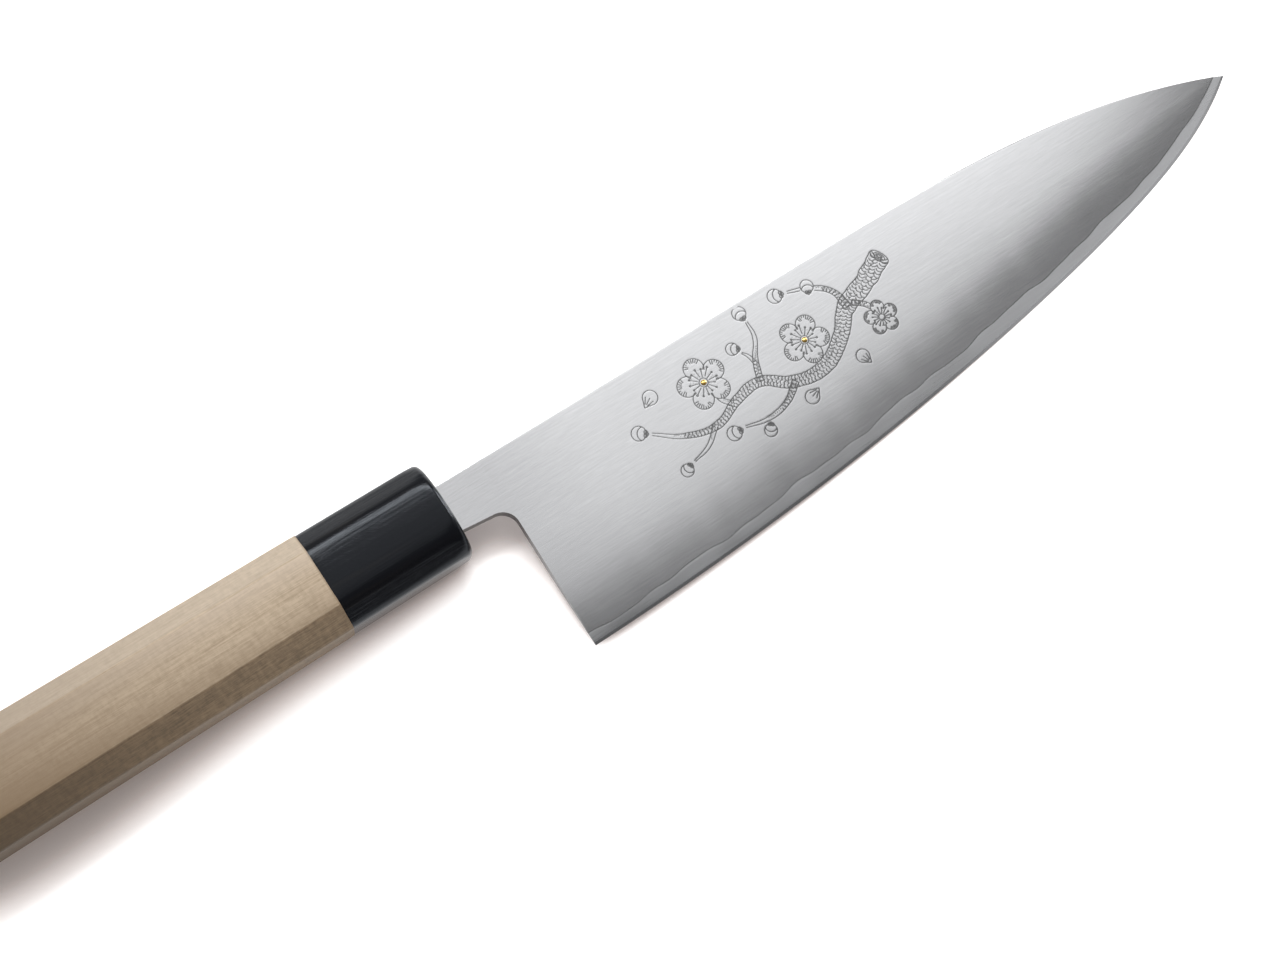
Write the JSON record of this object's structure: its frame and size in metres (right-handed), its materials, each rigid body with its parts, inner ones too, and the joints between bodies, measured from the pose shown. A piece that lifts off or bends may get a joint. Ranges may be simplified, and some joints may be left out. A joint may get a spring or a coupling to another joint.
{
  "type": "gyuto kitchen knife",
  "caption": "Long pointed kitchen knife with a laminated, convex-ground steel blade, an engraved right face, a dark horn ferrule and an octagonal wooden handle.",
  "frame": {"origin": "centre of the knife's bounding box in plan, at the height of the lowest line of the handle's left side", "axes": "+X along the handle towards the tip, +Y from the cutting edge towards the spine, +Z out of the blade's right face, which is up when the knife lies on its left side"},
  "size_m": [0.3598, 0.0566, 0.022],
  "materials": {
    "core_steel": "ground hard steel, slightly darker than the cladding",
    "cladding_steel": "fine brushed lines along the blade",
    "gold": "polished gold-coloured inlay",
    "horn": "polished dark buffalo horn",
    "pale_wood": "bare pale magnolia wood, lightly sanded",
    "resin": "hardened bedding resin",
    "wax": "dark sealing wax"
  },
  "bodies": {
    "root": {"core_steel": "core_steel", "right_cladding": "cladding_steel", "left_cladding": "cladding_steel", "gold_inlay_1": "gold", "gold_inlay_2": "gold", "horn_ferrule": "horn", "handle_body": "pale_wood", "tang_bedding": "resin", "mouth_seal": "wax"}
  },
  "joints": []
}
